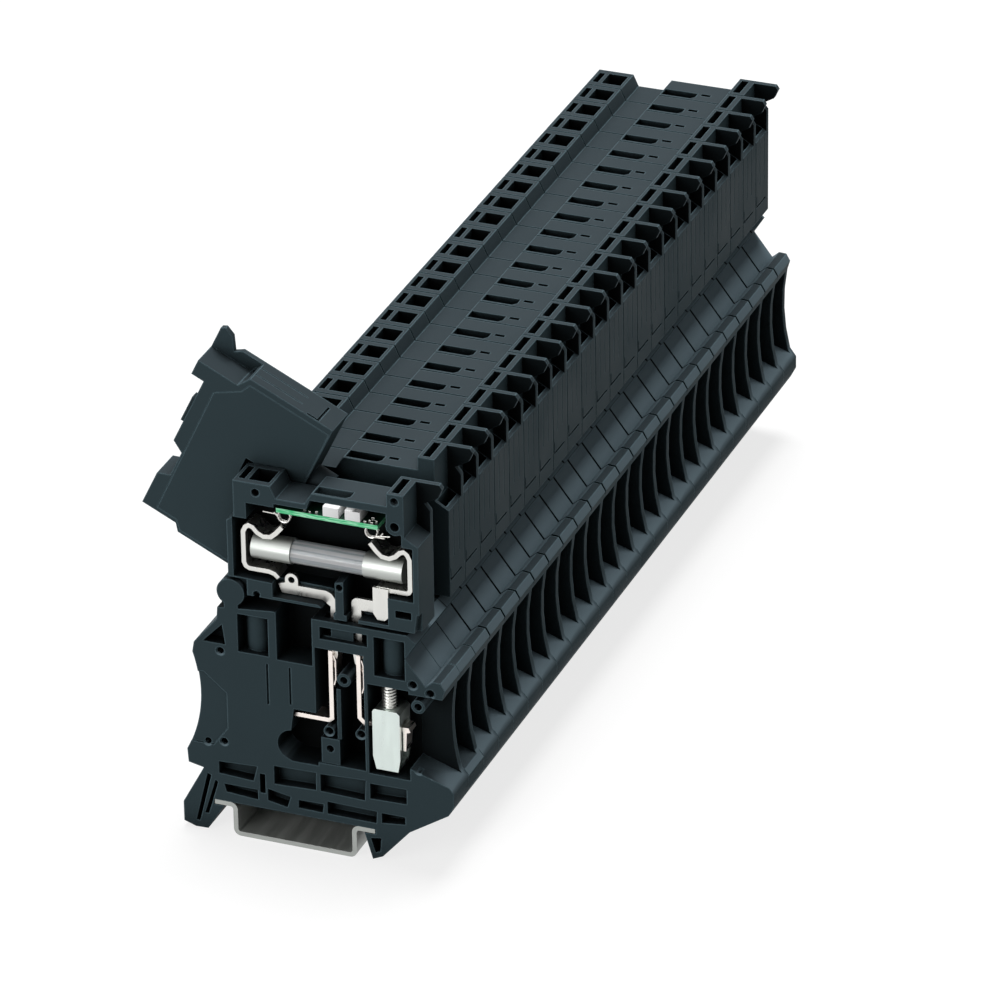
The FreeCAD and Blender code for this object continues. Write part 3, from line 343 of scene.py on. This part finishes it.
def add_piece(name, shape, material, body, replaced=(), turn_out=True, sharp=32.0):
    """Turns a bmesh into an object that moves with a body of the CAD model."""
    if turn_out:
        bmesh.ops.recalc_face_normals(shape, faces=shape.faces)
    for face in shape.faces:
        face.smooth = True
    for edge in shape.edges:
        edge.smooth = (len(edge.link_faces) == 2
                       and edge.calc_face_angle() < math.radians(sharp))
    mesh = bpy.data.meshes.new(name)
    shape.to_mesh(mesh)
    shape.free()
    for finish in material if isinstance(material, (list, tuple)) else [material]:
        mesh.materials.append(finish)
    piece = bpy.data.objects.new(name, mesh)
    bpy.context.collection.objects.link(piece)
    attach(piece, body)
    if replaced:
        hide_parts(*replaced)
    return piece


def rod(shape, start, end, radius, segments=12):
    """Adds a round rod between two points."""
    run = end - start
    turn = run.to_track_quat("Z", "Y").to_matrix().to_4x4()
    bmesh.ops.create_cone(shape, cap_ends=True, segments=segments, radius1=radius,
                          radius2=radius, depth=run.length,
                          matrix=Matrix.Translation((start + end) / 2) @ turn)


def block(shape, low, high):
    """Adds a rectangular block between two corners."""
    made = bmesh.ops.create_cube(shape, size=1.0)["verts"]
    size = high - low
    bmesh.ops.scale(shape, vec=(abs(size.x), abs(size.y), abs(size.z)), verts=made)
    bmesh.ops.translate(shape, vec=(low + high) / 2, verts=made)
    return made


# %% [markdown]
# Two small coil springs press on the fuse's clips and carry the current of the indicator. A
# coil could be a bevelled curve, but a spin with a little travel on each step is the same
# movement as winding the wire round a mandrel: a circle of wire turns about the spring's axis
# and moves along it. The legs are straight rods.

# %% Contact springs
SPRING_BACK = 2.2
WIRE = 0.16
COIL = 1.28
TURNS = 3
STEPS = 32
SPRING_LENGTH = 1.1


def contact_spring(name, across, up, legs):
    """Coil with its axis along the row, and its wire legs."""
    shape = bmesh.new()
    wire = WIRE * MM
    ring = bmesh.ops.create_circle(shape, segments=8, radius=wire,
                                   matrix=Matrix.Translation(at(across + COIL, SPRING_BACK,
                                                                up)))
    rise = SPRING_LENGTH * MM / (TURNS * STEPS)
    bmesh.ops.spin(shape, geom=ring["verts"] + shape.edges[:],
                   cent=at(across, SPRING_BACK, up), axis=(0.0, 1.0, 0.0), dvec=(0.0, rise, 0.0),
                   angle=math.tau * TURNS, steps=TURNS * STEPS, use_merge=False)
    bmesh.ops.holes_fill(shape, edges=shape.edges[:], sides=0)
    for start, end in legs:
        rod(shape, at(*start), at(*end), wire, 8)
    add_piece(name + "_coil", shape, spring_steel, body_of[name], (name,))


contact_spring("contact_spring_left", -1.4, 66.7,
               [((-2.6, 2.2, 67.1), (-5.6, 1.7, 67.5)), ((-2.3, 2.6, 65.8), (-3.3, 1.9, 67.6))])
contact_spring("contact_spring_right", 17.3, 66.7,
               [((18.4, 2.2, 66.0), (21.6, 1.7, 66.7)), ((18.9, 2.2, 65.7), (20.1, 1.8, 67.2)),
                ((17.9, 2.4, 65.6), (20.4, 1.8, 66.0))])
print("springs: 2")

# %% [markdown]
# The clamp screw's thread is a ridge that winds up the shank. A stack of rings would look the
# same from afar, but a real thread climbs, so the ridge's profile is spun with a rise of one
# pitch for each turn. A plain core closes it inside.

# %% Clamp screw
THREAD_PITCH, THREAD_STEPS = 0.7, 24
SCREW_ACROSS, SCREW_BACK = 20.1, 3.3
SCREW_LOW, SCREW_HIGH = 24.2, 32.4
CREST, ROOT = 1.68, 1.38


def clamp_screw():
    """Threaded shank with its core."""
    shape = bmesh.new()
    turns = int((SCREW_HIGH - SCREW_LOW - 0.9) / THREAD_PITCH)
    foot = SCREW_LOW + 0.45
    profile = [shape.verts.new(at(SCREW_ACROSS + reach, SCREW_BACK, foot + rise))
               for reach, rise in ((ROOT, -THREAD_PITCH / 2), (CREST, -0.06), (CREST, 0.06),
                                   (ROOT, THREAD_PITCH / 2))]
    edges = [shape.edges.new(pair) for pair in zip(profile, profile[1:])]
    bmesh.ops.spin(shape, geom=profile + edges, cent=at(SCREW_ACROSS, SCREW_BACK, foot),
                   axis=(0.0, 0.0, 1.0), dvec=(0.0, 0.0, THREAD_PITCH * MM / THREAD_STEPS),
                   angle=math.tau * turns, steps=THREAD_STEPS * turns, use_merge=False)
    bmesh.ops.remove_doubles(shape, verts=shape.verts, dist=0.002 * MM)
    rod(shape, at(SCREW_ACROSS, SCREW_BACK, SCREW_LOW), at(SCREW_ACROSS, SCREW_BACK, SCREW_HIGH),
        (ROOT + 0.02) * MM, 32)
    add_piece("clamp_screw_thread", shape, nickel, "screw", ("clamp_screw",),
              sharp=25.0)
    return turns


print("thread turns:", clamp_screw())

# %% [markdown]
# The fuse wire is so thin that the CAD model keeps it as a square strand. Here it is a round
# thread of copper-tinted wire from cap to cap.

# %% Fuse wire
wire_low, wire_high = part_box("fuse_wire")
middle = (wire_low + wire_high) / 2
shape = bmesh.new()
rod(shape, Vector((wire_low.x, middle.y, middle.z)), Vector((wire_high.x, middle.y, middle.z)),
    0.15 * MM, 12)
add_piece("fuse_wire_thread", shape, fuse_copper, body_of["fuse_wire"],
          ("fuse_wire",))
print("fuse wire length, mm:", round((wire_high.x - wire_low.x) / MM, 1))

# %% [markdown]
# Each contact leg is a pair: the stiff tinned leg of the CAD model and a thin leaf spring
# beside it, which presses the lever's blade against it. The leaf is a strip with a kink, so a
# few points are drawn out across the strip's width and given their thickness.

# %% Leaf springs
LEAF_BACK, LEAF_WIDTH, LEAF_THICKNESS = 1.5, 3.4, 0.25


def leaf_spring(name, points):
    """Thin bent strip through the given points of the front face's plane."""
    shape = bmesh.new()
    line = [shape.verts.new(at(across, LEAF_BACK, up)) for across, up in points]
    edges = [shape.edges.new(pair) for pair in zip(line, line[1:])]
    drawn = bmesh.ops.extrude_edge_only(shape, edges=edges)["geom"]
    bmesh.ops.translate(shape, vec=(0.0, LEAF_WIDTH * MM, 0.0),
                        verts=[v for v in drawn if isinstance(v, bmesh.types.BMVert)])
    bmesh.ops.recalc_face_normals(shape, faces=shape.faces)
    bmesh.ops.solidify(shape, geom=shape.faces[:], thickness=LEAF_THICKNESS * MM)
    add_piece(name, shape, tinned_copper, "row")


leaf_spring("contact_leaf_left", [(8.95, 37.6), (9.35, 36.4), (9.35, 32.2), (8.95, 30.8)])
leaf_spring("contact_leaf_right", [(14.95, 37.6), (15.35, 36.2), (15.35, 31.4), (14.95, 30.0)])
print("leaf springs: 2")

# %% [markdown]
# The board keeps the CAD model's outline. A merged copy of its mesh takes a second finish on
# its cut edges, and a few tiny components stand on its face. The white blocks get the small
# round edges of a moulding, and the right one is hollow at its top.

# %% Board and its blocks


def merged_copy(node_name):
    """Bmesh of a CAD node with its loose triangles joined."""
    shape = bmesh.new()
    shape.from_mesh(nodes[node_name].data)
    bmesh.ops.remove_doubles(shape, verts=shape.verts, dist=1e-7)
    return shape


shape = merged_copy("indicator_board")
for face in shape.faces:
    face.material_index = 1 if abs(face.normal.z) < 0.5 else 0
board_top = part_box("indicator_board")[1].z / MM - RAIL_HEIGHT
add_piece("indicator_board_lacquer", shape, [board_green, board_edge],
          body_of["indicator_board"], ("indicator_board",), turn_out=False)

for name, hollow in (("indicator_block_left", False), ("indicator_block_right", True)):
    low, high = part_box(name)
    shape = bmesh.new()
    block(shape, low, high)
    if hollow:
        top = [face for face in shape.faces if face.normal.z > 0.5]
        bmesh.ops.inset_region(shape, faces=top, thickness=0.35 * MM, depth=0.0)
        bmesh.ops.translate(shape, vec=(0.0, 0.0, -0.5 * MM), verts=top[0].verts)
    bmesh.ops.bevel(shape, geom=shape.edges[:], affect="EDGES", offset=0.09 * MM, segments=2,
                    profile=0.5, material=-1)
    add_piece(name + "_moulding", shape, block_white, body_of[name], (name,))

shape = bmesh.new()
for across, back, size in ((16.4, 1.6, 0.32), (17.1, 2.3, 0.28), (17.9, 1.5, 0.3),
                           (18.5, 2.4, 0.3), (17.4, 3.4, 0.34), (5.9, 2.0, 0.3),
                           (4.6, 1.6, 0.26), (3.2, 2.4, 0.3)):
    block(shape, at(across - size, back - size * 0.7, board_top - 0.02),
          at(across + size, back + size * 0.7, board_top + size * 0.9))
bmesh.ops.bevel(shape, geom=shape.edges[:], affect="EDGES", offset=0.04 * MM, segments=1,
                profile=0.5, material=-1)
add_piece("board_components", shape, spring_steel, body_of["indicator_board"])
print("board top, mm:", round(board_top, 2))

# %% [markdown]
# The finest slots and blind holes of the mouldings are too many for the CAD model's budget of
# faces. They could be painted dark, but a real cut catches the light on its far wall. So each
# moulding gets a merged copy with one boolean cut, whose cutter holds all its slots and holes.

# %% Cut fine slots and holes


def cut_moulding(node_name, cutter, pocket_depth=None):
    """Replaces a moulding with a copy that has the cutter's shapes taken out of it. Faces that
    look forward from below pocket_depth are pocket floors, which get the painted pocket shade."""
    tool_mesh = bpy.data.meshes.new("cutter")
    bmesh.ops.recalc_face_normals(cutter, faces=cutter.faces)
    cutter.to_mesh(tool_mesh)
    cutter.free()
    tool = bpy.data.objects.new("cutter", tool_mesh)
    bpy.context.collection.objects.link(tool)
    blank = bpy.data.meshes.new("blank")
    shape = merged_copy(node_name)
    shape.to_mesh(blank)
    shape.free()
    work = bpy.data.objects.new("blank", blank)
    bpy.context.collection.objects.link(work)
    boolean = work.modifiers.new("cut", "BOOLEAN")
    boolean.operation, boolean.solver, boolean.object = "DIFFERENCE", "EXACT", tool
    boolean.use_self = True
    graph = bpy.context.evaluated_depsgraph_get()
    shape = bmesh.new()
    shape.from_mesh(work.evaluated_get(graph).to_mesh())
    for made in (work, tool):
        bpy.data.objects.remove(made)
    faces = len(shape.faces)
    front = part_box(node_name)[0].y
    for face in shape.faces:
        deep = face.calc_center_median().y - front > (pocket_depth or 1.0) * MM
        # pocket floors get the darker copy as painted shade
        face.material_index = 1 if pocket_depth and deep and face.normal.y < -0.9 else 0
    add_piece(node_name + "_cut", shape, [FINISHES[slot_of[node_name]], pocket_shade_plastic],
              body_of[node_name], (node_name,), turn_out=False, sharp=40.0)
    return faces


def blind_hole(cutter, across, up, radius=0.8, depth=2.0, number=1, back=0.0):
    """Adds a blind hole with a small countersink to a cutter."""
    rod(cutter, at(across, back - 0.6, up, number), at(across, back + depth, up, number),
        radius * MM, 20)
    bmesh.ops.create_cone(cutter, cap_ends=True, segments=20, radius1=(radius + 0.9) * MM,
                          radius2=radius * 0.9 * MM, depth=1.0 * MM,
                          matrix=Matrix.Translation(at(across, back - 0.1, up, number))
                          @ Matrix.Rotation(math.radians(-90.0), 4, "X"))


# %% [markdown]
# A closed lever has an L-shaped slit and two shallow grooves in its right end, a slit and a
# notch in its top and a deep pocket behind its finger grip. A hair of plastic comes off its
# front along the edges that show, which draws the seam to its neighbour. The open second lever
# takes the same cutter, swung up about its pin.

# %% Slots in the levers
LEVER_END, LEVER_TOP = 28.1, 74.2
PIN_ACROSS, PIN_UP = -12.5, 48.7
OPEN_ANGLE = 64.0
POCKET_DEPTH = 3.4


def lever_slots(number, swung=0.0):
    """Cutter for the fine slots of one lever that is swung open by an angle."""
    cutter = bmesh.new()
    end, top = LEVER_END, LEVER_TOP
    for low, high in (((end - 0.5, 0.45, 50.3), (end + 0.3, 0.85, 53.0)),
                      ((end - 0.5, 0.45, 50.2), (end + 0.3, 6.3, 50.62)),
                      ((end - 0.18, 2.5, 55.0), (end + 0.3, 2.66, 66.6)),
                      ((end - 0.18, 5.3, 55.0), (end + 0.3, 5.46, 66.6)),
                      ((-10.6, 1.7, top - 3.0), (-9.3, 6.5, top + 1.0)),
                      ((14.3, 2.7, top - 4.0), (16.4, 3.6, top + 1.0)),
                      ((end - 2.8, 0.9, 61.0), (end - 0.9, 6.6, 68.6)),
                      ((-14.0, -0.3, top - 3.5), (29.0, 0.12, 80.0)),
                      ((end - 2.0, -0.3, 50.0), (29.0, 0.12, top - 3.0))):
        block(cutter, at(*low, number), at(*high, number))
    bmesh.ops.rotate(cutter, cent=at(PIN_ACROSS, 0.0, PIN_UP), verts=cutter.verts,
                     matrix=Matrix.Rotation(math.radians(-swung), 3, "Y"))
    return cutter


cut_faces = [cut_moulding("lever_%02d" % number, lever_slots(number), POCKET_DEPTH)
             for number in range(3, BLOCKS + 1)]
cut_faces.append(cut_moulding("lever_02", lever_slots(2, OPEN_ANGLE)))
print("cut levers:", len(cut_faces), "faces:", sum(cut_faces))

# %% [markdown]
# The housings stand tight against each other, and only a thin dark line parts their roofs. A
# gap through the whole moulding would let light through, so a shallow step is cut in the front
# edge of each roof.

# %% Seams between the housings
cutter = bmesh.new()
for number in range(3, BLOCKS + 1):
    block(cutter, at(24.0, -0.4, 34.0, number), at(36.0, 0.16, 50.0, number))
print("row faces:", cut_moulding("housings_03_to_25", cutter))

# %% [markdown]
# The first block's open side shows the blind holes into which the pins of its cover snap. A
# straight drill would leave a sharp rim, so each cutter is a pin with a small cone on top.

# %% Holes in the first block's mouldings
cutter = bmesh.new()
for across, up in ((26.4, 34.9), (30.1, 33.6), (27.4, 15.6), (8.1, 20.8), (15.0, 21.4),
                   (8.1, 16.6)):
    blind_hole(cutter, across, up)
for across, up in ((-15.2, 34.8), (-15.0, 13.9), (-18.6, 13.3), (30.4, 14.9)):
    blind_hole(cutter, across, up, radius=0.7)
print("housing faces:", cut_moulding("housing_01", cutter, POCKET_DEPTH))

cutter = bmesh.new()
for across, up, radius in ((-6.5, 72.2, 0.8), (23.2, 75.5, 0.8), (-6.9, 49.2, 0.7),
                           (11.0, 54.0, 0.7)):
    blind_hole(cutter, across, up, radius=radius, depth=1.6)
print("lever faces:", cut_moulding("lever_01", cutter, POCKET_DEPTH))

# %% [markdown]
# A product photograph of dark plastic is lit by one wide soft light from above and a weaker
# one from the front, so that tops are lightest and the right-hand sides are darkest. The floor
# is grey, so that it throws little light up into the pockets, and it is the camera, mirror and
# glass rays that see it white.

# %% Floor and world
WORLD_LIGHT = 0.14
FLOOR_REACH = 6.0


def seen_rays(tree):
    """1 for a ray from the camera, a mirror or glass, and 0 for light on the object."""
    path = add_node(tree, "ShaderNodeLightPath").outputs
    mirrored = arithmetic(tree, "ADD", path["Is Camera Ray"], path["Is Glossy Ray"], clamp=True)
    return arithmetic(tree, "ADD", mirrored, path["Is Transmission Ray"], clamp=True)


def pale_world():
    """Plain soft light, with a white background for the camera and for reflections."""
    world = bpy.data.worlds.new("studio")
    world.use_nodes = True
    tree = world.node_tree
    background = tree.nodes["Background"]
    tree.links.new(spread(tree, seen_rays(tree), WORLD_LIGHT, 1.0, 0.0, 1.0),
                   background.inputs["Strength"])
    background.inputs["Color"].default_value = (1.0, 1.0, 1.0, 1.0)
    return world


def pale_floor():
    """Floor that is white to the camera and keeps the shadow."""
    material, tree, shader, _ = new_material("pale_floor")
    shader.inputs["Base Color"].default_value = (0.26, 0.26, 0.26, 1.0)
    shader.inputs["Roughness"].default_value = 0.9
    shader.inputs["Specular IOR Level"].default_value = 0.0
    tree.links.new(seen_rays(tree), shader.inputs["Emission Strength"])
    shader.inputs["Emission Color"].default_value = (0.78, 0.78, 0.78, 1.0)
    shape = bmesh.new()
    bmesh.ops.create_grid(shape, x_segments=1, y_segments=1, size=FLOOR_REACH)
    mesh = bpy.data.meshes.new("floor")
    shape.to_mesh(mesh)
    shape.free()
    floor = bpy.data.objects.new("floor", mesh)
    floor.location.z = cad_low.z - 0.02 * MM
    mesh.materials.append(material)
    bpy.context.collection.objects.link(floor)
    return floor


bpy.context.scene.world = pale_world()
pale_floor()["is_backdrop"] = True

# %% [markdown]
# A soft box is an area lamp: the wider it is, the softer its shadow. Both look at the middle
# of the row.

# %% Lamps


def soft_lamp(name, toward, distance, width, watts):
    """Square area lamp that looks at the middle of the row from a direction."""
    data = bpy.data.lights.new(name, "AREA")
    data.size = width
    data.energy = watts
    lamp = bpy.data.objects.new(name, data)
    direction = Vector(toward).normalized()
    lamp.location = (cad_low + cad_high) / 2 + direction * distance
    lamp.rotation_euler = direction.to_track_quat("Z", "Y").to_euler()
    bpy.context.collection.objects.link(lamp)
    return lamp


soft_lamp("top_lamp", (-0.02, 0.20, 1.0), 1.5, 0.8, 25.0)
soft_lamp("front_lamp", (-0.45, -1.0, 0.3), 1.5, 0.9, 11.5)

# %% [markdown]
# The camera's place was solved from the straight edges of the row and the rail's known
# section. A long lens from a metre and a half away gives the photograph's mild perspective.

# %% Camera at the photograph's angle
CAMERA_PLACE = (0.530232, -1.310983, 0.783066)
CAMERA_LENS = 272.817
AZIMUTH, ELEVATION, ROLL = (math.radians(d) for d in (21.84779, 28.10579, -0.88463))

back = Vector((math.sin(AZIMUTH) * math.cos(ELEVATION),
               -math.cos(AZIMUTH) * math.cos(ELEVATION), math.sin(ELEVATION)))
level = Vector((math.cos(AZIMUTH), math.sin(AZIMUTH), 0.0))
above = back.cross(level)
right = level * math.cos(ROLL) + above * math.sin(ROLL)
upward = above * math.cos(ROLL) - level * math.sin(ROLL)

camera_data = bpy.data.cameras.new("camera")
camera_data.lens = CAMERA_LENS
camera_data.sensor_width = 36.0
camera_data.clip_start, camera_data.clip_end = 0.05, 30.0
camera = bpy.data.objects.new("camera", camera_data)
camera.matrix_world = (Matrix.Translation(CAMERA_PLACE)
                       @ Matrix((right, upward, back)).transposed().to_4x4())
bpy.context.collection.objects.link(camera)
bpy.context.scene.camera = camera
bpy.context.scene.view_settings.view_transform = "Standard"

# %% [markdown]
# The dressed row has to keep the CAD model's outer size, so both boxes are written down.

# %% Sizes and finish
low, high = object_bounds()
print("visual box, mm:", [round((b - a) / MM, 1) for a, b in zip(low, high)])
